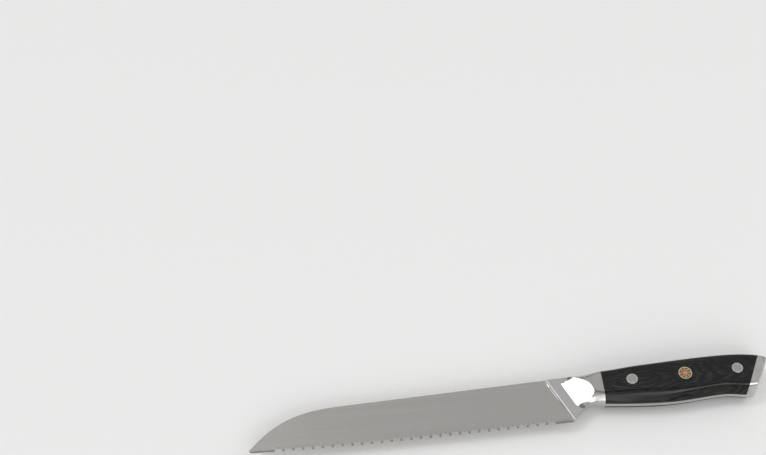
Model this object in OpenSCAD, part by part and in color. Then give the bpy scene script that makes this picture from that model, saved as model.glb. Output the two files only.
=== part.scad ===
// Bread knife with a scalloped blade, a full tang, welded steel bolsters and end cap,
// and two riveted handle scales. It lies on the flat of its right scale.
// X runs from the point to the butt, Y from the edge to the spine, Z up through the thickness.

/* [Blade] */
// Length from the point to the heel
blade_len = 200; // [190:1:215]
// Height of the spine above the edge, where the drop to the point begins
spine_h = 27.6; // [25:0.1:30]
// Rise of the spine towards the handle, per millimetre of length
spine_rise = 0.0295; // [0.02:0.0005:0.035]
// Length over which the spine drops to the point
drop_len = 62; // [50:1:80]
// Thickness at the spine
spine_t = 2.4; // [2:0.1:2.6]
// Thickness at the top of the scallops
scallop_top_t = 0.8; // [0.6:0.1:1]

/* [Scalloped edge] */
// Number of scallops
scallop_count = 29; // [20:1:29]
// Distance from one scallop to the next
scallop_pitch = 6.02; // [5.8:0.01:6.1]
// Distance from the point to the first scallop's middle
scallop_first = 17.8; // [16:0.1:22]
// Radius of the wheel that grinds a scallop
scallop_r = 2.75; // [2.6:0.05:2.85]
// Depth of a scallop on the left face
scallop_depth = 2.6; // [2:0.1:2.8]
// Slant of a scallop's wall, from square to the blade
scallop_slant = 32; // [20:1:40]

/* [Tang and bolster] */
// Thickness of the tang
tang_t = 2.8; // [2.6:0.1:3.2]
// Lean of the line where the grind ends, from upright
plunge_lean = 24; // [20:1:27]
// Width of the bare strip of tang between the grind and the bolster
ricasso_w = 1.2; // [1:0.1:2]
// Width of the flat land at the bolster's front
land_w = 6.2; // [5:0.1:7]
// Height of the land above the tang
land_step = 0.5; // [0.3:0.1:0.8]
// Width of the hollow between the land and the neck
hollow_w = 14.7; // [13:0.1:16]
// Radius of the hollow
hollow_r = 60; // [50:1:90]
// Thickness of the neck
neck_t = 14.5; // [13.5:0.1:15.5]

/* [Handle] */
// Distance from the heel to the front of the scales
neck_len = 21.4; // [20:0.1:23]
// Distance from the heel to the butt
handle_len = 126.4; // [125:0.1:128]
// Height of the handle's back at its highest point
back_h = 34.1; // [33.5:0.1:36]
// Thickness across both scales
handle_t = 18; // [16.5:0.1:19]
// Distance over which the scales swell from the neck
swell_len = 24; // [18:1:30]
// Thickness of the glue under each scale
glue_t = 0.15; // [0.1:0.05:0.3]
// Rounding of the back's edges
back_r = 3.2; // [2.5:0.1:4]
// Width of the belly between the two bevels
belly_w = 4.4; // [4:0.1:5.5]
// Angle of the belly's bevels from the side faces
bevel_angle = 30; // [25:1:40]

/* [End cap] */
// Lean of the cap's front, from upright
cap_lean = 26.1; // [22:0.1:28]
// Distance from the heel to the foot of the cap's front
cap_foot_dist = 106.6; // [106:0.1:108]
// Length of the tang's tab inside the cap
tab_len = 3; // [2:0.1:3.2]
// Height of the tang's tab
tab_h = 11; // [8:0.5:12]

/* [Rivets and mosaic pin] */
// Distance from the heel to the front rivet
front_dist = 39.7; // [36:0.1:43]
// Distance from the heel to the mosaic pin
mosaic_dist = 73.4; // [68:0.1:78]
// Distance from the heel to the rear rivet
rear_dist = 106.6; // [103:0.1:107.5]
// Diameter of a rivet's head
head_d = 7.1; // [6.5:0.1:7.5]
// Thickness of a rivet's head
head_t = 2.4; // [1.8:0.1:3]
// Diameter of the sleeve's barrel
barrel_d = 5; // [4.8:0.1:5.4]
// Diameter of the post's shank
shank_d = 3.4; // [3:0.1:3.6]
// Diameter of the mosaic pin
mosaic_d = 8.5; // [8:0.1:9]
// Wall of the mosaic pin's tube
tube_wall = 0.7; // [0.5:0.1:0.8]
// Diameter of the rod in the pin's middle
core_d = 3.2; // [2.8:0.1:3.4]
// Diameter of the rods around it
rod_d = 1.5; // [1.3:0.1:1.6]

/* [Hidden] */
$fn = 64;

STEEL = [0.62, 0.61, 0.59];
BLADE_STEEL = [0.68, 0.66, 0.63];
BLACK_WOOD = [0.1, 0.1, 0.1];
GLUE = [0.25, 0.22, 0.18];
COPPER = [0.72, 0.5, 0.36];
BRASS = [0.7, 0.62, 0.48];
RESIN = [0.2, 0.12, 0.06];

rod_count = 8;
half_handle = handle_t / 2;
half_neck = neck_t / 2;
half_tang = tang_t / 2;
scale_floor = half_tang + glue_t;
scale_x = blade_len + neck_len;
overall_len = blade_len + handle_len;
cap_foot = blade_len + cap_foot_dist;
front_x = blade_len + front_dist;
mosaic_x = blade_len + mosaic_dist;
rear_x = blade_len + rear_dist;
far = 40;
reach = 2 * overall_len;

// Edge: lowest at edge_low_x, from where it rises a little to the point and to the heel
edge_low_x = 85;
point_rise = 1.9;
heel_rise = 1.1;
point_h = 3.2;
function edge_y(x) = x < edge_low_x
  ? point_rise * pow((edge_low_x - x) / edge_low_x, 2)
  : heel_rise * pow((x - edge_low_x) / (blade_len - edge_low_x), 2);

// Smooth step from one height to another between two stations
function ease(x, x1, x2, y1, y2) =
  let (u = min(1, max(0, (x - x1) / (x2 - x1))))
  y1 + (y2 - y1) * u * u * (3 - 2 * u);

// Spine and back of the handle: a drop at the point, a straight spine, a shallow dip over
// the neck, a rise to the crest and a fall to the butt
dip_x = blade_len + 13;
dip_start_x = blade_len - 8;
crest_x = blade_len + 95;
dip_h = 31.8;
back_fall = 7;
back_fall_len = 34;
function spine_y(x) = spine_h + spine_rise * (x - drop_len);
function top_y(x) =
  x < drop_len ? point_h + (spine_y(x) - point_h) * (1 - pow(1 - x / drop_len, 3))
  : x < dip_start_x ? spine_y(x)
  : x < dip_x ? ease(x, dip_start_x, dip_x, spine_y(dip_start_x), dip_h)
  : x < crest_x ? ease(x, dip_x, crest_x, dip_h, back_h)
  : back_h - back_fall * (1 - sqrt(1 - pow((x - crest_x) / back_fall_len, 2)));

// Underside: the edge, the curve behind the heel, the grip's belly, its hollow and the beak
choil_len = 15;
neck_y = 11.5;
belly_x = blade_len + 64;
belly_y = 7.3;
waist_x = blade_len + 97;
waist_y = 9;
beak_x = blade_len + 112;
beak_y = 7.1;
function bottom_y(x) =
  x < blade_len ? edge_y(x)
  : x < blade_len + choil_len
    ? heel_rise + (neck_y - heel_rise) * sin(90 * (x - blade_len) / choil_len)
  : x < belly_x
    ? belly_y + (neck_y - belly_y) * pow((belly_x - x) / (belly_x - blade_len - choil_len), 1.6)
  : x < waist_x ? ease(x, belly_x, waist_x, belly_y, waist_y)
  : ease(x, waist_x, beak_x, waist_y, beak_y);

// Half the thickness of the neck and the scales along the handle
function half_t(x) = ease(x, scale_x, scale_x + swell_len, half_neck, half_handle);

// Point on a cubic curve
function curve(a, b, c, d, u) =
  pow(1 - u, 3) * a + 3 * pow(1 - u, 2) * u * b + 3 * (1 - u) * u * u * c + pow(u, 3) * d;

// Stations along the knife
blade_step = 4;
choil_step = 1.5;
handle_step = 3;
handle_start = blade_len - 20;
handle_end = overall_len + 2;
point_round = 1.6;
blade_stations = concat([point_round], [for (x = [4 : blade_step : blade_len - 2]) x]);
choil_stations = [for (x = [blade_len : choil_step : blade_len + choil_len]) x];
handle_stations = [for (x = [blade_len + choil_len + 2 : handle_step : handle_end]) x];
stations = concat(blade_stations, choil_stations, handle_stations);
body_stations = concat([for (x = [handle_start : blade_step : blade_len - 2]) x],
  choil_stations, handle_stations);

// The knife's own frame is moved so that it lies on z = 0, with the origin under its middle
module place() {
  translate([-overall_len / 2, -back_h / 2, half_handle]) children();
}

// Side view of the whole knife, with a small round at the point
module outline() {
  upper = [point_round, top_y(point_round)];
  lower = [point_round, edge_y(point_round)];
  pull = 4 / 3 * point_round;
  point = [for (u = [0.125 : 0.125 : 0.875])
    curve(upper, upper - [pull, 1.2], lower - [pull, 0], lower, u)];
  top = [for (i = [len(stations) - 1 : -1 : 0]) [stations[i], top_y(stations[i])]];
  bottom = [for (x = stations) [x, bottom_y(x)]];
  polygon(concat(top, point, bottom));
}

// A slab of the side view between two heights
module outline_slab(z1, z2) {
  translate([0, 0, z1]) linear_extrude(z2 - z1) outline();
}

// Moves to the heel and turns so that local Y runs along the end of the grind
module at_plunge() {
  translate([blade_len, heel_rise, 0]) rotate([0, 0, plunge_lean]) children();
}

// Everything behind a line parallel to the end of the grind, and everything ahead of it
module behind_plunge(offset_x) {
  at_plunge() translate([offset_x, -reach, -far]) cube([reach, 2 * reach, 2 * far]);
}

module ahead_of_plunge(offset_x) {
  at_plunge() translate([offset_x - reach, -reach, -far]) cube([reach, 2 * reach, 2 * far]);
}

// Moves to the foot of the end cap's front and turns so that local Y runs up along it
module at_cap_front() {
  translate([cap_foot, 0, 0]) rotate([0, 0, -cap_lean]) children();
}

// Everything behind the end cap's front
module behind_cap_front() {
  at_cap_front() translate([0, -far, -far]) cube([2 * far, 3 * far, 2 * far]);
}

// Cross-section of the handle at one station: belly strip, bevels, sides and rounded back
side_margin = 0.5;
function bevel_y(half_width) = (half_width - belly_w / 2) * tan(bevel_angle);
function half_ring(x) =
  let (b = bottom_y(x), t = top_y(x), w = half_t(x))
  concat(
    [[x, b, belly_w / 2], [x, b + bevel_y(w + side_margin), w + side_margin],
     [x, t - back_r, w + side_margin]],
    [for (a = [25 : 30 : 85]) [x, t - back_r * (1 - sin(a)), w - back_r * (1 - cos(a))]]);
function mirrored(points) =
  [for (i = [len(points) - 1 : -1 : 0]) [points[i][0], points[i][1], -points[i][2]]];
function ring(x) = concat(half_ring(x), mirrored(half_ring(x)));

// Solid with the handle's edges, wider than the handle, that the sides are cut from
module handle_edges() {
  rings = [for (x = body_stations) ring(x)];
  n = len(rings[0]);
  last = len(rings) - 1;
  walls = [for (i = [0 : last - 1], j = [0 : n - 1])
    let (k = (j + 1) % n)
    each [[i * n + j, i * n + k, (i + 1) * n + k], [i * n + j, (i + 1) * n + k, (i + 1) * n + j]]];
  ends = [[for (j = [n - 1 : -1 : 0]) j], [for (j = [0 : n - 1]) last * n + j]];
  polyhedron([for (r = rings) each r], concat(walls, ends), convexity = 6);
}

// Top view of the handle, which sets the flat sides and the swell behind the neck
module handle_sides() {
  xs = concat([handle_start], [for (u = [0 : 0.125 : 1]) scale_x + u * swell_len], [handle_end]);
  n = len(xs) - 1;
  upper = [for (x = xs) [x, half_t(x)]];
  lower = [for (i = [n : -1 : 0]) [xs[i], -half_t(xs[i])]];
  rotate([90, 0, 0]) linear_extrude(4 * far, center = true) polygon(concat(upper, lower));
}

// Neck, scales and end cap as one solid, before it is divided
module handle_body() {
  intersection() {
    handle_edges();
    handle_sides();
  }
}

// Blade blank: ground blade, tang, tab, scallops and rivet holes in one piece of steel
grind_split_y = 3.4;
edge_half_t = 0.12;
module grind_section() {
  k = (spine_t - scallop_top_t) / 2 / (spine_h - grind_split_y);
  top_half_t = scallop_top_t / 2 + k * (far - grind_split_y);
  half = [[-2, edge_half_t], [grind_split_y, scallop_top_t / 2], [far, top_half_t]];
  back = [for (i = [2 : -1 : 0]) [half[i][0], -half[i][1]]];
  rotate([90, 0, 90]) linear_extrude(blade_len + far) polygon(concat(half, back));
}

module scallops() {
  ellipse_r = scallop_r / cos(scallop_slant);
  for (i = [0 : scallop_count - 1]) {
    x = scallop_first + i * scallop_pitch;
    left_face_shift = scallop_top_t / 2 * tan(scallop_slant);
    translate([x, edge_y(x) + scallop_depth - ellipse_r - left_face_shift, 0])
      rotate([-scallop_slant, 0, 0]) cylinder(r = scallop_r, h = 10, center = true);
  }
}

// Centre of the rivets and the pin above the edge line, part way between belly and back
pin_level = 0.58;
function pin_y(x) = bottom_y(x) + pin_level * (top_y(x) - bottom_y(x));

module at_pin(x) {
  translate([x, pin_y(x), 0]) children();
}

module pin_holes() {
  at_pin(front_x) cylinder(d = barrel_d, h = far, center = true);
  at_pin(mosaic_x) cylinder(d = mosaic_d, h = far, center = true);
  at_pin(rear_x) cylinder(d = barrel_d, h = far, center = true);
}

module head_seats(side) {
  for (x = [front_x, rear_x])
    at_pin(x) mirror([0, 0, side < 0 ? 1 : 0])
      translate([0, 0, half_handle - head_t]) cylinder(d = head_d, h = head_t + 1);
}

tab_start = 14;
module tab() {
  at_cap_front() translate([-1, tab_start, -half_tang]) cube([tab_len + 1, tab_h, tang_t]);
}

module blade() {
  color(BLADE_STEEL) place() difference() {
    union() {
      intersection() {
        outline_slab(-half_tang, half_tang);
        grind_section();
        ahead_of_plunge(1);
      }
      difference() {
        intersection() {
          outline_slab(-half_tang, half_tang);
          behind_plunge(0);
        }
        behind_cap_front();
      }
      tab();
    }
    scallops();
    pin_holes();
  }
}

// Bolster cheek, welded to the side of the tang: a flat land, a hollow and the full neck
module bolster_hollow() {
  land_z = half_tang + land_step;
  rise = half_neck - land_z;
  chord = sqrt(hollow_w * hollow_w + rise * rise);
  to_centre = sqrt(hollow_r * hollow_r - chord * chord / 4);
  centre_s = hollow_w / 2 - to_centre * rise / chord;
  centre_z = land_z + rise / 2 + to_centre * hollow_w / chord;
  land_end = ricasso_w + land_w;
  at_plunge() {
    translate([-far, -far, land_z]) cube([far + land_end, 3 * far, far]);
    intersection() {
      translate([land_end + centre_s, -far, centre_z])
        rotate([-90, 0, 0]) cylinder(r = hollow_r, h = 3 * far, $fn = 180);
      translate([land_end - 0.01, -far, 0]) cube([2 * far, 3 * far, half_neck + 2]);
    }
  }
}

module bolster_cheek() {
  difference() {
    intersection() {
      handle_body();
      behind_plunge(ricasso_w);
      translate([0, -far, half_tang]) cube([scale_x, 3 * far, far]);
    }
    bolster_hollow();
  }
}

module bolster_left() {
  color(STEEL) place() bolster_cheek();
}

module bolster_right() {
  color(STEEL) place() mirror([0, 0, 1]) bolster_cheek();
}

// End cap: a slanted steel plate with a beak, slotted for the tang's tab. Its rear outline is
// three curves: the round corner at the back, the long rear face, and the beak's underside
cap_top = [overall_len, 28.2];
cap_low = [overall_len - 9.8, 9.6];
beak_tip = [overall_len - 14.9, 6.6];
cap_corner = [[overall_len - 3.2, 32], [overall_len - 1, 31.2], [overall_len, 30], cap_top];
cap_rear = [cap_top, [overall_len - 0.8, 25], [overall_len - 5.2, 15.5], cap_low];
cap_beak = [cap_low, [overall_len - 11.2, 8], [overall_len - 12.4, 7], beak_tip];
function along(pulls, us) = [for (u = us) curve(pulls[0], pulls[1], pulls[2], pulls[3], u)];
module cap_region() {
  front = [[cap_foot, 0], [cap_foot + far * tan(cap_lean), far]];
  translate([0, 0, -far]) linear_extrude(2 * far)
    polygon(concat(along(cap_corner, [0 : 0.25 : 1]), along(cap_rear, [0.125 : 0.125 : 1]),
      along(cap_beak, [0.25 : 0.25 : 1]), front));
}

module end_cap() {
  color(STEEL) place() difference() {
    intersection() {
      handle_body();
      cap_region();
      behind_cap_front();
    }
    tab();
  }
}

// Handle scale, bedded on the tang and bored for the rivets and the pin
module scale_blank(z1, z2) {
  difference() {
    intersection() {
      children();
      translate([scale_x, -far, z1]) cube([overall_len - scale_x, 3 * far, z2 - z1]);
    }
    behind_cap_front();
    pin_holes();
  }
}

module scale_left() {
  color(BLACK_WOOD) place() difference() {
    scale_blank(scale_floor, far) handle_body();
    head_seats(1);
  }
}

module scale_right() {
  color(BLACK_WOOD) place() difference() {
    scale_blank(-far, -scale_floor) handle_body();
    head_seats(-1);
  }
}

module glue_left() {
  color(GLUE) place() scale_blank(half_tang, scale_floor) outline_slab(-far, far);
}

module glue_right() {
  color(GLUE) place() scale_blank(-scale_floor, -half_tang) outline_slab(-far, far);
}

// Cutler's rivet in two halves: a post from the left, pressed into a sleeve from the right
barrel_top = half_handle - head_t;
post_tip = -half_handle + head_t + 1;
module rivet_post(x) {
  color(STEEL) place() at_pin(x) {
    translate([0, 0, barrel_top]) cylinder(d = head_d, h = head_t);
    translate([0, 0, post_tip]) cylinder(d = shank_d, h = barrel_top - post_tip);
  }
}

module rivet_sleeve(x) {
  color(STEEL) place() at_pin(x) difference() {
    union() {
      translate([0, 0, -half_handle]) cylinder(d = head_d, h = head_t);
      translate([0, 0, -half_handle]) cylinder(d = barrel_d, h = half_handle + barrel_top);
    }
    translate([0, 0, post_tip]) cylinder(d = shank_d, h = far);
  }
}

module front_rivet_post() {
  rivet_post(front_x);
}

module front_rivet_sleeve() {
  rivet_sleeve(front_x);
}

module rear_rivet_post() {
  rivet_post(rear_x);
}

module rear_rivet_sleeve() {
  rivet_sleeve(rear_x);
}

// Mosaic pin: a tube, a core and a ring of rods, set in resin
tube_bore = mosaic_d - 2 * tube_wall;
rod_ring_r = (core_d + tube_bore) / 4;
module mosaic_tube() {
  color(BRASS) place() at_pin(mosaic_x) difference() {
    cylinder(d = mosaic_d, h = handle_t, center = true);
    cylinder(d = tube_bore, h = far, center = true);
  }
}

module mosaic_core() {
  color(COPPER) place() at_pin(mosaic_x) cylinder(d = core_d, h = handle_t, center = true);
}

module rod_at(i, h) {
  rotate([0, 0, 360 * i / rod_count]) translate([rod_ring_r, 0, 0])
    cylinder(d = rod_d, h = h, center = true);
}

module mosaic_rod(i) {
  color(COPPER) place() at_pin(mosaic_x) rod_at(i, handle_t);
}

module mosaic_resin() {
  color(RESIN) place() at_pin(mosaic_x) difference() {
    cylinder(d = tube_bore, h = handle_t, center = true);
    cylinder(d = core_d, h = far, center = true);
    for (i = [1 : rod_count]) rod_at(i, far);
  }
}

blade();
bolster_left();
bolster_right();
end_cap();
scale_left();
scale_right();
glue_left();
glue_right();
front_rivet_post();
front_rivet_sleeve();
rear_rivet_post();
rear_rivet_sleeve();
mosaic_tube();
mosaic_core();
mosaic_resin();
mosaic_rod(1);  // mosaic_rod_1
mosaic_rod(2);  // mosaic_rod_2
mosaic_rod(3);  // mosaic_rod_3
mosaic_rod(4);  // mosaic_rod_4
mosaic_rod(5);  // mosaic_rod_5
mosaic_rod(6);  // mosaic_rod_6
mosaic_rod(7);  // mosaic_rod_7
mosaic_rod(8);  // mosaic_rod_8
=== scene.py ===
import math

import bmesh
import bpy
from mathutils import Euler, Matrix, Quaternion, Vector


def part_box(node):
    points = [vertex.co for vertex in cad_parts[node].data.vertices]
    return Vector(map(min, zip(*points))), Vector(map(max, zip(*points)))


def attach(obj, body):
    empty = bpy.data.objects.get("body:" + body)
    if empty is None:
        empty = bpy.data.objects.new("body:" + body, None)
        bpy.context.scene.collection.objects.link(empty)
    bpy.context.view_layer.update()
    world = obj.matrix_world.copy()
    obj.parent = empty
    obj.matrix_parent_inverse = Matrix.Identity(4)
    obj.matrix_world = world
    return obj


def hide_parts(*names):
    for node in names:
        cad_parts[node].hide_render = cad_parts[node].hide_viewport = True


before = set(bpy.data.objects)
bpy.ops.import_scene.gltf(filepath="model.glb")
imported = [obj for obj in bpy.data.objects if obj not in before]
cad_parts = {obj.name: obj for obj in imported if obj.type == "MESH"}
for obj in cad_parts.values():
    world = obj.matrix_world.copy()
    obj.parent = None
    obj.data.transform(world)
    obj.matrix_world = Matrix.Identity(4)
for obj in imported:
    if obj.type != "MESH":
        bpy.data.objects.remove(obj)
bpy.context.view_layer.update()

# Bread knife: the looks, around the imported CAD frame. Lengths are in millimetres in the knife's
# own frame (x from the point, y from the edge's lowest line, z from the middle plane), the same
# as in the CAD source. place() turns them into the frame's metres.
MM = 0.001
BODY = "root"

# ---------------------------------------------------------------- driving dimensions
# Handle: heights of its back and belly are over the edge's lowest line.
BLADE_LEN = 200
HANDLE_LEN = 126.4
OVERALL_LEN = BLADE_LEN + HANDLE_LEN
BACK_H = 34.1
DIP_H = 31.8
CHOIL_H = 11.5
BELLY_H = 7.3
WAIST_H = 9
BEAK_H = 7.1
HALF_HANDLE = 9
HALF_NECK = 7.25
SWELL_LEN = 24
SCALE_X = BLADE_LEN + 21.4
HALF_TANG = 1.4
SCALE_FLOOR = 1.55
BACK_R = 3.2

# Blade. Its half thickness runs from EDGE_HALF_T, EDGE_BELOW under the edge line, over
# SCALLOP_TOP_HALF_T at the grind's break, to GRIND_TAPER more at the spine.
POINT_ROUND = 1.6
POINT_H = 3.2
DROP_LEN = 62
SPINE_H = 27.6
SPINE_RISE = 0.0295
EDGE_LOW_X = 85
EDGE_BELOW = 2
EDGE_HALF_T = 0.12
GRIND_TAPER = 0.8
POINT_RISE = 1.9
HEEL_RISE = 1.1

# Scallops, ground by a wheel that leans by SCALLOP_SLANT.
SCALLOP_COUNT = 29
SCALLOP_PITCH = 6.02
SCALLOP_FIRST = 17.8
SCALLOP_R = 2.75
SCALLOP_DEPTH = 2.6
SCALLOP_SLANT = math.radians(32)
SCALLOP_TOP_HALF_T = 0.4
GRIND_BREAK_Y = 3.4

# Plunge and bolster. s is the distance behind the leaning line where the grind ends: a ramp from
# -PLUNGE_RAMP to PLUNGE_END, then the ricasso strip, the flat land and the hollow.
PLUNGE_LEAN = math.radians(24)
PLUNGE_RAMP = 0.3
PLUNGE_END = 0.15
RICASSO_W = 1.2
LAND_W = 6.2
LAND_Z = HALF_TANG + 0.5
LAND_END = RICASSO_W + LAND_W
HOLLOW_W = 13.8
HOLLOW_R = 60
NECK_MIDDLE_Y = 20.6
OVAL_END_X = SCALE_X - 12
OVAL_MIDDLE = 25

# End cap, with the slot for the tang's tab.
CAP_LEAN = math.radians(26.1)
CAP_FOOT = BLADE_LEN + 106.6
CAP_EDGE_R = 0.7
TAB_START = 14
TAB_LEN = 3
TAB_H = 11

# Rivets and mosaic pin.
HEAD_R = 3.55
HEAD_T = 2.4
GROOVE_R = 2.75
BARREL_R = 2.5
SHANK_R = 1.7
MOSAIC_R = 4.25
ROD_COUNT = 8


def place(point):
    """A point of the knife's own frame, in millimetres, as a point of the CAD frame, in metres."""
    x, y, z = point
    return ((x - OVERALL_LEN / 2) * MM, (y - BACK_H / 2) * MM, (z + HALF_HANDLE) * MM)


def knife_xy(node):
    """Middle of a CAD node, as x and y in the knife's own frame."""
    low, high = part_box(node)
    middle = (low + high) / 2
    return middle.x / MM + OVERALL_LEN / 2, middle.y / MM + BACK_H / 2


# ---------------------------------------------------------------- outline
def mix(a, b, share):
    return a + (b - a) * share


def ease(x, x1, x2, y1, y2):
    """Smooth step from y1 at x1 to y2 at x2."""
    share = min(1, max(0, (x - x1) / (x2 - x1)))
    return mix(y1, y2, share * share * (3 - 2 * share))


def bezier(a, b, c, d, u):
    return (1 - u) ** 3 * a + 3 * (1 - u) ** 2 * u * b + 3 * (1 - u) * u * u * c + u ** 3 * d


def edge_y(x):
    if x < EDGE_LOW_X:
        return POINT_RISE * ((EDGE_LOW_X - x) / EDGE_LOW_X) ** 2
    return HEEL_RISE * ((x - EDGE_LOW_X) / (BLADE_LEN - EDGE_LOW_X)) ** 2


def spine_y(x):
    return SPINE_H + SPINE_RISE * (x - DROP_LEN)


def back_y(x):
    """Spine of the blade and back of the handle."""
    dip_start, dip, crest = BLADE_LEN - 8, BLADE_LEN + 13, BLADE_LEN + 95
    fall, fall_len = 7, 34
    if x < DROP_LEN:
        return POINT_H + (spine_y(x) - POINT_H) * (1 - (1 - x / DROP_LEN) ** 3)
    if x < dip_start:
        return spine_y(x)
    if x < dip:
        return ease(x, dip_start, dip, spine_y(dip_start), DIP_H)
    if x < crest:
        return ease(x, dip, crest, DIP_H, BACK_H)
    return BACK_H - fall * (1 - math.sqrt(max(0, 1 - ((x - crest) / fall_len) ** 2)))


def belly_y(x):
    """Edge of the blade, curve behind the heel, and belly of the handle."""
    choil_end, belly, waist, beak = BLADE_LEN + 15, BLADE_LEN + 64, BLADE_LEN + 97, BLADE_LEN + 112
    if x < BLADE_LEN:
        return edge_y(x)
    if x < choil_end:
        turn = math.pi / 2 * (x - BLADE_LEN) / (choil_end - BLADE_LEN)
        return mix(HEEL_RISE, CHOIL_H, math.sin(turn))
    if x < belly:
        return mix(BELLY_H, CHOIL_H, ((belly - x) / (belly - choil_end)) ** 1.6)
    if x < waist:
        return ease(x, belly, waist, BELLY_H, WAIST_H)
    return ease(x, waist, beak, WAIST_H, BEAK_H)


def point_span(x):
    """Lowest and highest y of the blade at x, with the small round at the point."""
    if x >= POINT_ROUND:
        return belly_y(x), back_y(x)
    low, high = belly_y(POINT_ROUND), back_y(POINT_ROUND)
    shoulder = high - 1.2
    share = math.sqrt(max(0, x / POINT_ROUND))
    upper, lower = (1 - share) / 2, (1 + share) / 2
    return bezier(high, shoulder, low, low, lower), bezier(high, shoulder, low, low, upper)


def half_width(x):
    """Half the thickness of the neck and the scales."""
    return ease(x, SCALE_X, SCALE_X + SWELL_LEN, HALF_NECK, HALF_HANDLE)


def ground_half_t(y):
    """Half the thickness of the ground blade at a height above the edge line."""
    if y < GRIND_BREAK_Y:
        share = (y + EDGE_BELOW) / (GRIND_BREAK_Y + EDGE_BELOW)
        return mix(EDGE_HALF_T, SCALLOP_TOP_HALF_T, share)
    return SCALLOP_TOP_HALF_T + GRIND_TAPER * (y - GRIND_BREAK_Y) / (SPINE_H - GRIND_BREAK_Y)


# ---------------------------------------------------------------- cross-section of the handle
def fillet(before, corner, after, radius, steps):
    """Points of an arc that rounds a corner, from the side of `before` to that of `after`."""
    a = (Vector(before) - Vector(corner)).normalized()
    b = (Vector(after) - Vector(corner)).normalized()
    half = a.angle(b) / 2
    reach = radius / math.tan(half)
    centre = Vector(corner) + (a + b).normalized() * radius / math.sin(half)
    start = Vector(corner) + a * reach - centre
    turn = math.pi - 2 * half
    sign = 1 if a.x * b.y - a.y * b.x < 0 else -1
    points = []
    for i in range(steps + 1):
        angle = sign * turn * i / steps
        c, s = math.cos(angle), math.sin(angle)
        points.append((centre.x + start.x * c - start.y * s, centre.y + start.x * s + start.y * c))
    return points


def between(a, b, count):
    """Points strictly between two points."""
    return [(mix(a[0], b[0], i / (count + 1)), mix(a[1], b[1], i / (count + 1)))
            for i in range(1, count + 1)]


def along_handle(x, neck, front, cap):
    """A value that changes from the neck to the front of the scales, and again to the end cap."""
    if x < SCALE_X + 20:
        return ease(x, SCALE_X - 2, SCALE_X + 14, neck, front)
    return ease(x, BLADE_LEN + 50, BLADE_LEN + 86, front, cap)


def belly_half_w(x):
    """Half the width of the belly, out to the corner of its bevel."""
    return along_handle(x, 3.9, 3, 2.2)


def belly_r(x):
    """Rounding between the belly and its bevel."""
    return along_handle(x, 4, 1.6, 1)


def bevel_rise(x):
    """Height of the bevel."""
    return along_handle(x, 4.8, 4.6, 3.9)


def crease_r(x):
    """Rounding between the side and the belly's bevel: soft in front, crisper behind."""
    return along_handle(x, 4.5, 6, 2.6)


def faceted_section(x):
    """(y, z) from the belly's edge over bevel, side and rounded back to the top."""
    low, high, width, belly = belly_y(x), back_y(x), half_width(x), belly_half_w(x)
    bevel_top = (low + bevel_rise(x), width)
    edge, back_corner = (low, belly), (high, width)
    belly_arc = fillet((low, 0), edge, bevel_top, belly_r(x), 5)
    crease_arc = fillet(edge, bevel_top, back_corner, crease_r(x), 10)
    back_arc = fillet(bevel_top, back_corner, (high, 0), BACK_R, 12)
    return (belly_arc + between(belly_arc[-1], crease_arc[0], 3) + crease_arc
            + between(crease_arc[-1], back_arc[0], 10) + back_arc)


SECTION_COUNT = len(faceted_section(SCALE_X))


def oval_section(x):
    """The same number of points on an oval, for the part of the neck next to the hollow. Each
    half has its end's y, the half width of its flat end, and the power of its superellipse."""
    below, above = (belly_y(x), 1.8, 1.45), (back_y(x), 1.5, 1.8)
    points = []
    for i in range(SECTION_COUNT):
        if i < OVAL_MIDDLE:
            share = 1 - i / OVAL_MIDDLE
            end_y, flat, power = below
        else:
            share = (i - OVAL_MIDDLE) / (SECTION_COUNT - 1 - OVAL_MIDDLE)
            end_y, flat, power = above
        turn = math.pi / 2 * share
        rise, out = math.sin(turn) ** (2 / power), max(0, math.cos(turn)) ** (2 / power)
        points.append((mix(NECK_MIDDLE_Y, end_y, rise), mix(flat, half_width(x), out)))
    return points


def section(x):
    """The section at x: the oval next to the hollow, the faceted one from the scales on."""
    share = ease(x, OVAL_END_X, SCALE_X, 0, 1)
    if share == 1:
        return faceted_section(x)
    return [(mix(a[0], b[0], share), mix(a[1], b[1], share))
            for a, b in zip(oval_section(x), faceted_section(x))]


def leaning_section(foot, lean):
    """(x, y, z) of the section in the plane x = foot + y * tan(lean)."""
    if lean == 0:
        return [(foot, y, z) for y, z in section(foot)]
    points = []
    for i in range(SECTION_COUNT):
        x = foot
        for _ in range(12):
            y, z = section(x)[i]
            x = foot + y * math.tan(lean)
        points.append((x, y, z))
    return points


# ---------------------------------------------------------------- mesh tools
def solid(name, points, faces):
    """Closed mesh object from points in the knife's own frame."""
    mesh = bpy.data.meshes.new(name)
    mesh.from_pydata([place(p) for p in points], [], faces)
    shape = bmesh.new()
    shape.from_mesh(mesh)
    bmesh.ops.recalc_face_normals(shape, faces=shape.faces)
    shape.to_mesh(mesh)
    shape.free()
    piece = bpy.data.objects.new(name, mesh)
    bpy.context.scene.collection.objects.link(piece)
    return piece


def skin(rings):
    """Faces between rings of equally many points."""
    count = len(rings[0])
    faces = []
    for r in range(len(rings) - 1):
        for i in range(count):
            a, b = r * count + i, r * count + (i + 1) % count
            faces.append([a, b, b + count, a + count])
    return faces


def loft(name, rings):
    """Closed solid through rings of equally many points."""
    count = len(rings[0])
    points = [p for ring in rings for p in ring]
    ends = [list(range(count)), list(range(len(points) - count, len(points)))]
    return solid(name, points, ends + skin(rings))


def closed_at(rings, z):
    """Rings of an open half section, each closed by a flat face at height z."""
    return [[(*ring[0][:2], z)] + ring + [(*ring[-1][:2], z)] for ring in rings]


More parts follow.
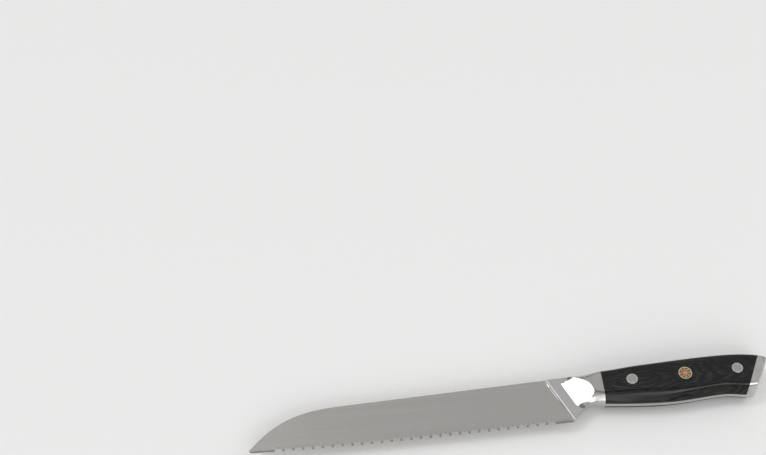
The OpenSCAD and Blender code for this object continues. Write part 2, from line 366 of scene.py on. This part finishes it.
def revolve(name, profile, x, y, height=None):
    """Solid of (radius, z) points turned about the axis through (x, y), from one point on the
    axis to another. height(x, z) may move z."""
    steps = 72
    rings, points = [], []
    for radius, z in profile:
        ring = []
        for i in range(steps if radius > 0 else 1):
            angle = 2 * math.pi * i / steps
            px, py = x + radius * math.cos(angle), y + radius * math.sin(angle)
            ring.append(len(points))
            points.append((px, py, height(px, z) if height else z))
        rings.append(ring)
    faces = []
    for a, b in zip(rings, rings[1:]):
        for i in range(steps):
            corners = [a[i % len(a)], a[(i + 1) % len(a)], b[(i + 1) % len(b)], b[i % len(b)]]
            faces.append(list(dict.fromkeys(corners)))
    return solid(name, points, faces)


def box_solid(name, low, high, turn, pivot):
    """Box between two corners, turned about a vertical axis at pivot."""
    c, s = math.cos(turn), math.sin(turn)
    points = []
    for x in (low[0], high[0]):
        for y in (low[1], high[1]):
            for z in (low[2], high[2]):
                points.append((pivot[0] + x * c - y * s, pivot[1] + x * s + y * c, z))
    faces = [(0, 1, 3, 2), (4, 6, 7, 5), (0, 4, 5, 1), (2, 3, 7, 6), (0, 2, 6, 4), (1, 5, 7, 3)]
    return solid(name, points, faces)


def combine(piece, tool, operation):
    """Exact boolean of piece with tool. The tool is removed."""
    change = piece.modifiers.new("combine", "BOOLEAN")
    change.object = tool
    change.operation = operation
    change.solver = "EXACT"
    depsgraph = bpy.context.evaluated_depsgraph_get()
    result = bpy.data.meshes.new_from_object(piece.evaluated_get(depsgraph))
    piece.modifiers.clear()
    piece.data = result
    bpy.data.objects.remove(tool)


def join(pieces):
    """One object from several separate solids."""
    shape = bmesh.new()
    for piece in pieces:
        shape.from_mesh(piece.data)
    mesh = bpy.data.meshes.new(pieces[0].name)
    shape.to_mesh(mesh)
    shape.free()
    pieces[0].data = mesh
    for piece in pieces[1:]:
        bpy.data.objects.remove(piece)
    return pieces[0]


def mirror_z(name, piece):
    """Mirror image of a piece on the other side of the knife's middle plane."""
    mesh = piece.data.copy()
    middle = HALF_HANDLE * MM
    for vertex in mesh.vertices:
        vertex.co.z = 2 * middle - vertex.co.z
    mesh.flip_normals()
    copy = bpy.data.objects.new(name, mesh)
    bpy.context.scene.collection.objects.link(copy)
    return copy


def dress(piece, materials, nodes, sharp, choose=None):
    """Shading, materials and body of a finished piece, and the CAD nodes it stands for.
    Edges are sharp from an angle in degrees. choose(face) picks one of several materials."""
    mesh = piece.data
    mesh.materials.clear()
    for material in materials:
        mesh.materials.append(material)
    mesh.shade_smooth()
    mesh.set_sharp_from_angle(angle=math.radians(sharp))
    for face in mesh.polygons:
        face.material_index = choose(face) if choose else 0
    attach(piece, BODY)
    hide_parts(*nodes)


# ---------------------------------------------------------------- materials
LINE_DEPTH = 0.02 * MM


def add(tree, kind, **values):
    """New node. Names of inputs set their values, other names set the node's own properties."""
    node = tree.nodes.new(kind)
    for name, value in values.items():
        socket = name.replace("_", " ")
        match = [i for i in node.inputs if i.name.lower() == socket.lower()]
        if match:
            match[0].default_value = value
        else:
            setattr(node, name, value)
    return node


def new_material(name, metallic, roughness, color=(0.5, 0.5, 0.5)):
    material = bpy.data.materials.new(name)
    material.use_nodes = True
    tree = material.node_tree
    shader = tree.nodes["Principled BSDF"]
    shader.inputs["Metallic"].default_value = metallic
    shader.inputs["Roughness"].default_value = roughness
    shader.inputs["Base Color"].default_value = (*color, 1)
    return material, tree, shader


def stretched(tree, stretch):
    """Object coordinates, scaled on each axis."""
    coordinates = add(tree, "ShaderNodeTexCoord")
    mapping = add(tree, "ShaderNodeMapping", Scale=stretch)
    tree.links.new(coordinates.outputs["Object"], mapping.inputs["Vector"])
    return mapping.outputs["Vector"]


def noise(tree, vector, scale, detail=2, roughness=0.5):
    node = add(tree, "ShaderNodeTexNoise", Scale=scale, Detail=detail, Roughness=roughness)
    tree.links.new(vector, node.inputs["Vector"])
    return node.outputs["Fac"]


def spread(tree, value, low, high, start=0.3, end=0.7):
    """A value from a texture, spread over a range."""
    node = add(tree, "ShaderNodeMapRange")
    node.inputs["From Min"].default_value = start
    node.inputs["From Max"].default_value = end
    node.inputs["To Min"].default_value = low
    node.inputs["To Max"].default_value = high
    tree.links.new(value, node.inputs["Value"])
    return node.outputs["Result"]


def calculate(tree, operation, a, b):
    """Sum or product of two values."""
    node = add(tree, "ShaderNodeMath", operation=operation)
    tree.links.new(a, node.inputs[0])
    tree.links.new(b, node.inputs[1])
    return node.outputs["Value"]


def away_from(tree, centre):
    """Object coordinates, counted from a centre."""
    coordinates = add(tree, "ShaderNodeTexCoord")
    node = add(tree, "ShaderNodeVectorMath", operation="SUBTRACT")
    node.inputs[1].default_value = centre
    tree.links.new(coordinates.outputs["Object"], node.inputs[0])
    return node.outputs["Vector"]


def ramp(tree, value, *stops):
    """Colours at positions along a value."""
    node = add(tree, "ShaderNodeValToRGB")
    elements = node.color_ramp.elements
    while len(elements) < len(stops):
        elements.new(0.5)
    for element, (position, color) in zip(elements, stops):
        element.position = position
        element.color = (*color, 1)
    tree.links.new(value, node.inputs["Fac"])
    return node.outputs["Color"]


def bump(tree, shader, height, strength, depth):
    node = add(tree, "ShaderNodeBump", Strength=strength, Distance=depth)
    tree.links.new(height, node.inputs["Height"])
    tree.links.new(node.outputs["Normal"], shader.inputs["Normal"])


def brushed_steel(name, color, roughness, lines, contrast, strength):
    """Steel with fine lines. lines is the stretch: small along the lines, 1 across them."""
    material, tree, shader = new_material(name, 1, roughness, color)
    across = stretched(tree, lines)
    fine = noise(tree, across, 2600, 2, 0.6)
    broad = noise(tree, across, 420, 3, 0.6)
    patches = noise(tree, stretched(tree, (1, 1, 1)), 55, 2)
    both = calculate(tree, "ADD", fine, broad)
    tint = calculate(tree, "ADD", both, patches)
    dark = [c * (1 - contrast) for c in color]
    light = [min(1, c * (1 + contrast)) for c in color]
    shade = ramp(tree, spread(tree, tint, 0, 1, 1.1, 1.9), (0, dark), (1, light))
    tree.links.new(shade, shader.inputs["Base Color"])
    rough = spread(tree, both, roughness * 0.85, roughness * 1.15, 0.7, 1.3)
    tree.links.new(rough, shader.inputs["Roughness"])
    bump(tree, shader, both, strength, LINE_DEPTH)
    return material


def polished_steel(name, color, roughness):
    """Mirror-polished steel with faint buffing marks."""
    material, tree, shader = new_material(name, 1, roughness, color)
    marks = noise(tree, stretched(tree, (1, 0.2, 0.5)), 900, 4, 0.7)
    tree.links.new(spread(tree, marks, roughness * 0.7, roughness * 1.6), shader.inputs["Roughness"])
    shade = ramp(tree, noise(tree, stretched(tree, (1, 1, 1)), 120, 2),
                 (0.3, [c * 0.97 for c in color]), (0.7, color))
    tree.links.new(shade, shader.inputs["Base Color"])
    bump(tree, shader, marks, 0.04, LINE_DEPTH)
    return material


def black_wood():
    """Black laminated wood: fine wavy grain in long ovals about the front rivet, satin polish."""
    material, tree, shader = new_material("black_laminated_wood", 0, 0.25)
    shader.inputs["Specular IOR Level"].default_value = 0.38
    heart = place((FRONT[0] + 4, FRONT[1] - 1, -HALF_HANDLE))
    squeeze = add(tree, "ShaderNodeMapping", Scale=(0.22, 1, 0.7))
    tree.links.new(away_from(tree, heart), squeeze.inputs["Vector"])
    wave = add(tree, "ShaderNodeTexWave", wave_type="RINGS", rings_direction="Z", Scale=170,
               Distortion=14, Detail=3, Detail_Scale=1.1, Detail_Roughness=0.6)
    tree.links.new(squeeze.outputs["Vector"], wave.inputs["Vector"])
    fibres = noise(tree, stretched(tree, (0.03, 1, 1)), 1500, 3, 0.65)
    patches = noise(tree, stretched(tree, (0.2, 1, 1)), 150, 2)
    grain = calculate(tree, "MULTIPLY", wave.outputs["Fac"], fibres)
    mottled = calculate(tree, "MULTIPLY", grain, spread(tree, patches, 0.4, 1.6))
    shade = ramp(tree, mottled, (0, (0.002, 0.002, 0.002)), (0.3, (0.005, 0.005, 0.005)),
                 (0.75, (0.022, 0.022, 0.0215)))
    tree.links.new(shade, shader.inputs["Base Color"])
    tree.links.new(spread(tree, mottled, 0.2, 0.38, 0, 0.8), shader.inputs["Roughness"])
    bump(tree, shader, mottled, 0.12, 0.04 * MM)
    return material


def with_rim(tree, shade, color, offset, rim):
    """The shade inside a radius about an axis, and a plain colour outside it."""
    flat = add(tree, "ShaderNodeVectorMath", operation="MULTIPLY")
    flat.inputs[1].default_value = (1, 1, 0)
    tree.links.new(offset, flat.inputs[0])
    radius = add(tree, "ShaderNodeVectorMath", operation="LENGTH")
    tree.links.new(flat.outputs["Vector"], radius.inputs[0])
    soft = 0.2 * MM
    outside = spread(tree, radius.outputs["Value"], 0, 1, rim - soft, rim + soft)
    blend = add(tree, "ShaderNodeMix", data_type="RGBA")
    # The node's sockets for numbers, vectors and colours share their names, so these go by place.
    factor, inside, beyond = blend.inputs[0], blend.inputs[6], blend.inputs[7]
    tree.links.new(outside, factor)
    tree.links.new(shade, inside)
    beyond.default_value = (*color, 1)
    return blend.outputs[2]


def turned_metal(name, color, roughness, x, y, rim=None):
    """Metal ground flush: faint rings about an axis, small scratches and, outside rim, a light ring."""
    material, tree, shader = new_material(name, 1, roughness, color)
    offset = away_from(tree, place((x, y, 0)))
    rings = add(tree, "ShaderNodeTexWave", wave_type="RINGS", rings_direction="Z", Scale=500,
                Distortion=2, Detail=2)
    tree.links.new(offset, rings.inputs["Vector"])
    mottle = noise(tree, offset, 1300, 3, 0.7)
    shade = ramp(tree, mottle, (0.3, [c * 0.7 for c in color]), (0.7, color))
    if rim:
        shade = with_rim(tree, shade, [min(1, c * 1.15) for c in color], offset, rim)
    tree.links.new(shade, shader.inputs["Base Color"])
    rough = spread(tree, mottle, roughness * 1.2, roughness * 0.85)
    tree.links.new(rough, shader.inputs["Roughness"])
    marks = calculate(tree, "MULTIPLY", rings.outputs["Fac"], mottle)
    bump(tree, shader, marks, 0.3, 0.03 * MM)
    return material


def plain_resin(name, dark, light, roughness):
    """Cured resin or epoxy with slight clouding."""
    material, tree, shader = new_material(name, 0, roughness)
    clouds = noise(tree, stretched(tree, (1, 1, 1)), 900, 3)
    tree.links.new(ramp(tree, clouds, (0.35, dark), (0.65, light)), shader.inputs["Base Color"])
    tree.links.new(spread(tree, clouds, roughness * 0.8, roughness * 1.2), shader.inputs["Roughness"])
    return material


FRONT = knife_xy("front_rivet_post")
REAR = knife_xy("rear_rivet_post")
MOSAIC = knife_xy("mosaic_tube")

BLADE_STEEL = brushed_steel("satin_blade_steel", (0.52, 0.505, 0.485), 0.24, (0.02, 1, 1), 0.02, 0.008)
NECK_STEEL = brushed_steel("brushed_neck_steel", (0.53, 0.515, 0.50), 0.2, (1, 0.03, 0.2), 0.12, 0.2)
MIRROR_STEEL = polished_steel("mirror_bolster_steel", (0.6, 0.595, 0.59), 0.07)
CAP_STEEL = brushed_steel("polished_cap_steel", (0.53, 0.52, 0.505), 0.15, (1, 0.05, 0.2), 0.25, 0.25)
WOOD = black_wood()
GLUE = plain_resin("epoxy_line", (0.012, 0.011, 0.01), (0.03, 0.026, 0.022), 0.35)
RESIN = plain_resin("brown_pin_resin", (0.05, 0.024, 0.01), (0.09, 0.045, 0.02), 0.3)
RIVET_STEEL = {
    "front": turned_metal("front_rivet_steel", (0.52, 0.52, 0.51), 0.3, *FRONT, GROOVE_R * MM),
    "rear": turned_metal("rear_rivet_steel", (0.52, 0.52, 0.51), 0.3, *REAR, GROOVE_R * MM),
}
COPPER = turned_metal("pin_copper", (0.80, 0.47, 0.27), 0.3, *MOSAIC)
BRASS = turned_metal("pin_pale_brass", (0.78, 0.68, 0.52), 0.3, *MOSAIC)


# ---------------------------------------------------------------- blade and tang
def plunge_s(x, y):
    """Distance behind the end of the grind, square to it."""
    return (x - BLADE_LEN) * math.cos(PLUNGE_LEAN) + (y - HEEL_RISE) * math.sin(PLUNGE_LEAN)


def from_plunge(s, along, z):
    """Point at distance s behind the end of the grind and `along` up its line."""
    cos, sin = math.cos(PLUNGE_LEAN), math.sin(PLUNGE_LEAN)
    return (BLADE_LEN + s * cos - along * sin, HEEL_RISE + s * sin + along * cos, z)


def foot_at(s):
    """x where the line at distance s meets the underside."""
    low, high = BLADE_LEN - 20, BLADE_LEN + 15
    for _ in range(40):
        middle = (low + high) / 2
        if plunge_s(middle, belly_y(middle)) < s:
            low = middle
        else:
            high = middle
    return (low + high) / 2


def head_at(s):
    """x where the line at distance s meets the back."""
    x = BLADE_LEN
    for _ in range(20):
        x = BLADE_LEN + (s - (back_y(x) - HEEL_RISE) * math.sin(PLUNGE_LEAN)) / math.cos(PLUNGE_LEAN)
    return x


def blade_half_t(x, y):
    """Half the thickness of the blade and the tang, with the ramp at the end of the grind."""
    share = (plunge_s(x, y) + PLUNGE_RAMP) / (PLUNGE_RAMP + PLUNGE_END)
    return mix(ground_half_t(y), HALF_TANG, min(1, max(0, share)))


def blade_ring(x_low, x_high):
    """Ring of the blade between a point of the underside and a point of the back."""
    low, high = point_span(x_low)[0], point_span(x_high)[1]
    span = high - low
    sharp_half_t = 0.06
    edge_bevel = min(0.9, 0.2 * span)
    spine_round = min(0.3, 0.1 * span)
    grind_break = min(max(GRIND_BREAK_Y, low + edge_bevel + 0.1), high - 2.2 * spine_round)
    heights = [low, low + edge_bevel, grind_break]
    heights += [mix(grind_break, high - spine_round, i / 12) for i in range(1, 13)]
    heights += [high - 0.3 * spine_round, high]
    half = []
    for i, y in enumerate(heights):
        x = mix(x_low, x_high, (y - low) / span)
        z = blade_half_t(x, y)
        if i == 0 and x_low < BLADE_LEN:
            z = mix(sharp_half_t, z, ease(x_low, foot_at(-2), BLADE_LEN, 0, 1))
        if i == len(heights) - 2:
            z -= 0.3 * spine_round
        if i == len(heights) - 1:
            z -= spine_round
        half.append((x, y, z))
    return half + [(x, y, -z) for x, y, z in reversed(half)]


def leaning_ring(x, lean):
    """Ring of the blade that starts at x on the underside and leans forward."""
    return blade_ring(x, x - (back_y(x) - belly_y(x)) * math.tan(lean))


def blade_rings():
    """Upright rings at the point, leaning ones at the plunge and the end cap."""
    plunge_lines = (-6 * PLUNGE_RAMP, -PLUNGE_RAMP, PLUNGE_END, 0.6, 1.5)
    ground_end, tang_start = foot_at(plunge_lines[0]), foot_at(plunge_lines[-1])
    tang_end = CAP_FOOT + belly_y(CAP_FOOT + 4) * math.tan(CAP_LEAN)
    ground_count, tang_count = 100, 80
    rings = [blade_ring(x, x) for x in (0.02, 0.1, 0.25, 0.5, 0.85, 1.2)]
    for i in range(ground_count):
        share = i / ground_count
        rings.append(leaning_ring(mix(POINT_ROUND, ground_end, share), PLUNGE_LEAN * share ** 2))
    for s in plunge_lines:
        rings.append(blade_ring(foot_at(s), head_at(s)))
    for i in range(1, tang_count + 1):
        x = mix(tang_start, tang_end, i / tang_count)
        forward = ease(x, tang_start, SCALE_X, PLUNGE_LEAN, 0)
        backward = ease(x, BLADE_LEN + 85, tang_end, 0, CAP_LEAN)
        rings.append(leaning_ring(x, forward - backward))
    return rings


def scallop_tools():
    """The wheels that grind the scallops, leaning away from the left face."""
    ellipse_r = SCALLOP_R / math.cos(SCALLOP_SLANT)
    shift = SCALLOP_TOP_HALF_T * math.tan(SCALLOP_SLANT)
    reach, steps = 3, 48
    tools = []
    for i in range(SCALLOP_COUNT):
        x = SCALLOP_FIRST + i * SCALLOP_PITCH
        y = edge_y(x) + SCALLOP_DEPTH - ellipse_r - shift
        rings = []
        for z in (-reach, reach):
            ring = []
            for k in range(steps):
                angle = 2 * math.pi * k / steps
                ring.append((x + SCALLOP_R * math.cos(angle),
                             y + ellipse_r * math.sin(angle) + z * math.tan(SCALLOP_SLANT), z))
            rings.append(ring)
        tools.append(loft(f"scallop_tool_{i}", rings))
    return join(tools)


def pin_bores():
    """The holes through the tang."""
    bores = []
    for (x, y), radius in ((FRONT, BARREL_R), (MOSAIC, MOSAIC_R), (REAR, BARREL_R)):
        bores.append(revolve("bore", [(0, -20), (radius, -20), (radius, 20), (0, 20)], x, y))
    return join(bores)


def tab_box(name):
    """The tang's tab, which fills a slot in the end cap."""
    return box_solid(name, (-1, TAB_START, -HALF_TANG), (TAB_LEN, TAB_START + TAB_H, HALF_TANG),
                     -CAP_LEAN, (CAP_FOOT, 0))


def make_blade():
    blade = loft("blade_with_tang", blade_rings())
    combine(blade, scallop_tools(), "DIFFERENCE")
    combine(blade, tab_box("tab_tool"), "UNION")
    combine(blade, pin_bores(), "DIFFERENCE")
    dress(blade, [BLADE_STEEL], ["blade"], 20)


# ---------------------------------------------------------------- bolster
def hollow_arc():
    """Centre of the hollow's circle, as (s, z)."""
    rise = HALF_NECK - LAND_Z
    chord = math.hypot(HOLLOW_W, rise)
    to_centre = math.sqrt(HOLLOW_R ** 2 - chord ** 2 / 4)
    return (LAND_END + HOLLOW_W / 2 - to_centre * rise / chord,
            LAND_Z + rise / 2 + to_centre * HOLLOW_W / chord)


def hollow_z(s):
    """Height of the land and the full hollow at distance s behind the end of the grind."""
    centre_s, centre_z = hollow_arc()
    if s < LAND_END:
        return LAND_Z
    return centre_z - math.sqrt(HOLLOW_R ** 2 - (s - centre_s) ** 2)


def cheek_cut_z(s, y):
    """Height of the land and the hollow. In front the hollow fades out below and above."""
    shallow = 0.2
    fade_top = 26.8 + 0.35 * max(0, s - LAND_END)
    fade = ease(y, 8.5, 12.5, shallow, 1) * ease(y, fade_top, fade_top + 2.5, 1, shallow)
    share = mix(fade, 1, ease(s, 13, 18, 0, 1))
    return mix(LAND_Z, hollow_z(s), share)


def hollow_tool():
    """Solid whose underside is the land and the dished hollow."""
    before, ends, above = -30, LAND_END + HOLLOW_W + 6, 14
    rows, row_step, columns = 76, 0.8, 56
    rings = []
    for row in range(rows):
        along = -15 + row_step * row
        ring = [from_plunge(before, along, LAND_Z)]
        for i in range(columns + 1):
            s = mix(LAND_END, ends, i / columns)
            x, y, _ = from_plunge(s, along, 0)
            ring.append((x, y, cheek_cut_z(s, y)))
        rings.append(ring + [from_plunge(ends, along, above), from_plunge(before, along, above)])
    return loft("hollow_tool", rings)


def cheek_finish(face):
    """Index of the steel of a cheek's face: the mirror on the land and the hollow."""
    brushed, mirror = 0, 1
    x, y = face.center.x / MM + OVERALL_LEN / 2, face.center.y / MM + BACK_H / 2
    depth = abs(face.center.z / MM - HALF_HANDLE)
    return mirror if abs(depth - cheek_cut_z(plunge_s(x, y), y)) < 0.05 else brushed


def make_bolster():
    foot_x, foot_y, _ = from_plunge(RICASSO_W, 0, 0)
    front_foot = foot_x + foot_y * math.tan(PLUNGE_LEAN)
    rings = []
    count = 44
    for i in range(count + 1):
        share = i / count
        lean = math.atan(-math.tan(PLUNGE_LEAN) * (1 - share))
        rings.append(leaning_section(mix(front_foot, SCALE_X, share), lean))
    left = loft("bolster_left_cheek", closed_at(rings, HALF_TANG))
    combine(left, hollow_tool(), "DIFFERENCE")
    right = mirror_z("bolster_right_cheek", left)
    steels = [NECK_STEEL, MIRROR_STEEL]
    dress(left, steels, ["bolster_left"], 10, cheek_finish)
    dress(right, steels, ["bolster_right"], 10, cheek_finish)


# ---------------------------------------------------------------- handle scales
def scale_bores():
    """Seats of the rivets' heads, their barrels and the mosaic pin's hole."""
    seat_z = HALF_HANDLE - HEAD_T
    stepped = [(0, -2), (BARREL_R, -2), (BARREL_R, seat_z), (HEAD_R, seat_z), (HEAD_R, 12), (0, 12)]
    plain = [(0, -2), (MOSAIC_R, -2), (MOSAIC_R, 12), (0, 12)]
    return join([revolve("front_bore", stepped, *FRONT), revolve("rear_bore", stepped, *REAR),
                 revolve("mosaic_bore", plain, *MOSAIC)])


def make_scales():
    turn_from = CAP_FOOT - 16
    straight, turning = 70, 16
    rings = [leaning_section(mix(SCALE_X, turn_from, i / straight), 0) for i in range(straight)]
    for i in range(turning + 1):
        share = i / turning
        lean = math.atan(math.tan(CAP_LEAN) * share)
        rings.append(leaning_section(mix(turn_from, CAP_FOOT, share), lean))
    left = loft("left_scale", closed_at(rings, SCALE_FLOOR))
    combine(left, scale_bores(), "DIFFERENCE")
    right = mirror_z("right_scale", left)
    dress(left, [WOOD], ["scale_left"], 15)
    dress(right, [WOOD], ["scale_right"], 15)


# ---------------------------------------------------------------- end cap
def cap_rear_points():
    """Rear outline of the end cap, from the beak up to the back."""
    top, low, beak = (OVERALL_LEN, 28.2), (OVERALL_LEN - 9.8, 9.6), (OVERALL_LEN - 14.9, 6.6)
    curves = [
        (beak, (OVERALL_LEN - 12.4, 7), (OVERALL_LEN - 11.2, 8), low),
        (low, (OVERALL_LEN - 5.2, 15.5), (OVERALL_LEN - 0.8, 25), top),
        (top, (OVERALL_LEN, 30), (OVERALL_LEN - 1, 31.2), (OVERALL_LEN - 3.2, 32)),
    ]
    steps = 24
    points = []
    for a, b, c, d in curves:
        for i in range(steps):
            u = i / steps
            points.append((bezier(a[0], b[0], c[0], d[0], u), bezier(a[1], b[1], c[1], d[1], u)))
    return points


CAP_REAR = cap_rear_points()


def cap_rear_x(y):
    """x of the rear outline at a height."""
    for (x1, y1), (x2, y2) in zip(CAP_REAR, CAP_REAR[1:]):
        if y <= y2:
            return mix(x1, x2, max(0, (y - y1) / (y2 - y1)))
    return CAP_REAR[-1][0]


def cap_station(i):
    """x where the section's i-th line meets the rear."""
    low, high = CAP_FOOT + 2, OVERALL_LEN
    for _ in range(30):
        middle = (low + high) / 2
        if middle < cap_rear_x(section(middle)[i][0]):
            low = middle
        else:
            high = middle
    return (low + high) / 2


def inward(points, i):
    """Unit vector into the section at its i-th point, in (y, z)."""
    before, after = points[max(0, i - 1)], points[min(len(points) - 1, i + 1)]
    dy, dz = after[0] - before[0], after[1] - before[1]
    length = math.hypot(dy, dz)
    return (dz / length, -dy / length)


def cap_half_rings():
    """Rings of the left half, from the slanted front to the rear and in over its rounded edge."""
    front = leaning_section(CAP_FOOT, CAP_LEAN)
    stations = [cap_station(i) for i in range(SECTION_COUNT)]
    ends = [section(x)[i] for i, x in enumerate(stations)]
    rings = [front]
    for share in (0.25, 0.5, 0.75, 1):
        ring = []
        for i, start in enumerate(front):
            x = max(start[0], mix(start[0], stations[i] - CAP_EDGE_R, share))
            ring.append((x, *section(x)[i]))
        rings.append(ring)
    for turn in (math.radians(a) for a in (15, 30, 45, 60, 75, 90)):
        ring = []
        depth = CAP_EDGE_R * (1 - math.cos(turn))
        for i, end in enumerate(ends):
            in_y, in_z = inward(ends, i)
            y, z = end[0] + in_y * depth, end[1] + in_z * depth
            x = cap_rear_x(y) - CAP_EDGE_R * (1 - math.sin(turn))
            ring.append((max(x, front[i][0] + 0.1), y, z))
        rings.append(ring)
    return rings


def rear_faces(base, count):
    """Faces across the last ring, from its left half to its right half. It isn't flat, so they
    are strips, with one polygon at the belly and one at the back."""
    rows = SECTION_COUNT + 1
    belly_rows, back_rows = 4, 3
    top_row = rows - back_rows
    left = [base + i for i in range(rows + 1)]
    right = [base + (count - i) % count for i in range(rows + 1)]
    strips = [[left[i], left[i + 1], right[i + 1], right[i]] for i in range(belly_rows, top_row)]
    belly = left[:belly_rows + 1] + right[belly_rows:0:-1]
    back = left[top_row:] + right[rows - 1:top_row - 1:-1]
    return [belly] + strips + [back]


def make_cap():
    rings = []
    for ring in cap_half_rings():
        low, high = (*ring[0][:2], 0), (*ring[-1][:2], 0)
        rings.append([low] + ring + [high] + [(x, y, -z) for x, y, z in reversed(ring)])
    count = len(rings[0])
    points = [p for ring in rings for p in ring]
    faces = [list(range(count))] + skin(rings) + rear_faces(len(points) - count, count)
    cap = solid("butt_cap", points, faces)
    combine(cap, tab_box("tab_slot_tool"), "DIFFERENCE")
    dress(cap, [CAP_STEEL], ["end_cap"], 15)


# ---------------------------------------------------------------- rivets and mosaic pin
def head_profile(top):
    """Flat head with a broken edge, a shallow ring groove and a level middle."""
    chamfer, groove = 0.1, 0.06
    return [(HEAD_R, top - chamfer), (HEAD_R - chamfer, top), (GROOVE_R + groove, top),
            (GROOVE_R, top - groove), (GROOVE_R - groove, top), (0, top)]


def flush(x, z):
    """Height of a rivet's point at x: the outer ends of the heads follow the sides of the scales."""
    if abs(z) < HALF_HANDLE - HEAD_T + 1:
        return z
    return z + (half_width(x) - HALF_HANDLE) * math.copysign(1, z)


def make_rivet(end, x, y):
    """The post with the left head and the sleeve with the right head, at one end of the handle."""
    seat_z = HALF_HANDLE - HEAD_T
    tip = 1 - seat_z
    post = [(0, tip), (SHANK_R, tip), (SHANK_R, seat_z), (HEAD_R, seat_z)] + head_profile(HALF_HANDLE)
    outer = [(r, -z) for r, z in reversed(head_profile(HALF_HANDLE))]
    sleeve = outer + [(HEAD_R, -seat_z), (BARREL_R, -seat_z), (BARREL_R, seat_z), (SHANK_R, seat_z),
                      (SHANK_R, tip), (0, tip)]
    steel = [RIVET_STEEL[end]]
    dress(revolve(end + "_rivet_head", post, x, y, height=flush), steel,
          [end + "_rivet_post"], 20)
    dress(revolve(end + "_rivet_socket", sleeve, x, y, height=flush), steel,
          [end + "_rivet_sleeve"], 20)


def keep_cad(node, material):
    """A CAD node that stays, with its better material."""
    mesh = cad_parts[node].data
    mesh.materials.clear()
    mesh.materials.append(material)


make_blade()
make_bolster()
make_scales()
make_cap()
make_rivet("front", *FRONT)
make_rivet("rear", *REAR)
keep_cad("glue_left", GLUE)
keep_cad("glue_right", GLUE)
keep_cad("mosaic_tube", BRASS)
keep_cad("mosaic_core", COPPER)
keep_cad("mosaic_resin", RESIN)
for number in range(1, ROD_COUNT + 1):
    keep_cad(f"mosaic_rod_{number}", COPPER)


# ---------------------------------------------------------------- floor, lights and camera
def make_floor():
    mesh = bpy.data.meshes.new("pale_floor")
    size = 12
    mesh.from_pydata([(-size, -size, 0), (size, -size, 0), (size, size, 0), (-size, size, 0)], [],
                     [(0, 1, 2, 3)])
    floor = bpy.data.objects.new("pale_floor", mesh)
    bpy.context.scene.collection.objects.link(floor)
    material, _, shader = new_material("pale_paper", 0, 0.8, (0.91, 0.91, 0.905))
    shader.inputs["Specular IOR Level"].default_value = 0.2
    mesh.materials.append(material)


def soft_light(name, direction, distance, width, height, power, turn=0):
    """Area light that faces the knife from a direction, turned about its own axis."""
    target = Vector((0.04, 0, 0.01))
    data = bpy.data.lights.new(name, "AREA")
    data.shape = "RECTANGLE"
    data.size = width
    data.size_y = height
    data.energy = power
    light = bpy.data.objects.new(name, data)
    aim = Vector(direction).normalized()
    light.location = target + aim * distance
    level = aim.to_track_quat("Z", "Y")
    light.rotation_euler = (level @ Quaternion((0, 0, 1), math.radians(turn))).to_euler()
    bpy.context.scene.collection.objects.link(light)


def make_world():
    """A grey room, darker at the horizon and straight above."""
    world = bpy.data.worlds.new("studio")
    bpy.context.scene.world = world
    world.use_nodes = True
    tree = world.node_tree
    height = add(tree, "ShaderNodeSeparateXYZ")
    tree.links.new(add(tree, "ShaderNodeTexCoord").outputs["Generated"], height.inputs[0])
    horizon, room, ceiling = ([v] * 3 for v in (0.12, 0.62, 0.25))
    sky = ramp(tree, height.outputs["Z"], (0.05, horizon), (0.3, room), (0.94, room), (0.98, ceiling))
    tree.links.new(sky, tree.nodes["Background"].inputs["Color"])


def make_camera():
    """The photo's camera, from the calibration on the box and the knife."""
    data = bpy.data.cameras.new("camera")
    data.sensor_width = 36
    data.lens = 80.74
    data.shift_x = -0.0158
    data.shift_y = -0.0074
    camera = bpy.data.objects.new("camera", data)
    camera.location = (-0.1457, -0.49805, 0.9473)
    camera.rotation_euler = Euler([math.radians(a) for a in (34.6765, -0.8318, -6.8501)])
    bpy.context.scene.collection.objects.link(camera)
    bpy.context.scene.camera = camera


make_floor()
make_world()
soft_light("key_panel", (-0.41, 0.2, 0.89), 4, 2.1, 1, 22, -42)
soft_light("front_panel", (0.17, -0.835, 0.52), 3, 2.3, 1.9, 18)
soft_light("front_strip", (0.27, -0.77, 0.56), 2.6, 0.26, 0.9, 2.5)
soft_light("left_panel", (-0.9, -0.1, 0.42), 3, 2.6, 2, 11)
soft_light("right_panel", (0.9, 0.1, 0.42), 3, 2.6, 2, 15)
make_camera()
bpy.context.scene.view_settings.view_transform = "Standard"
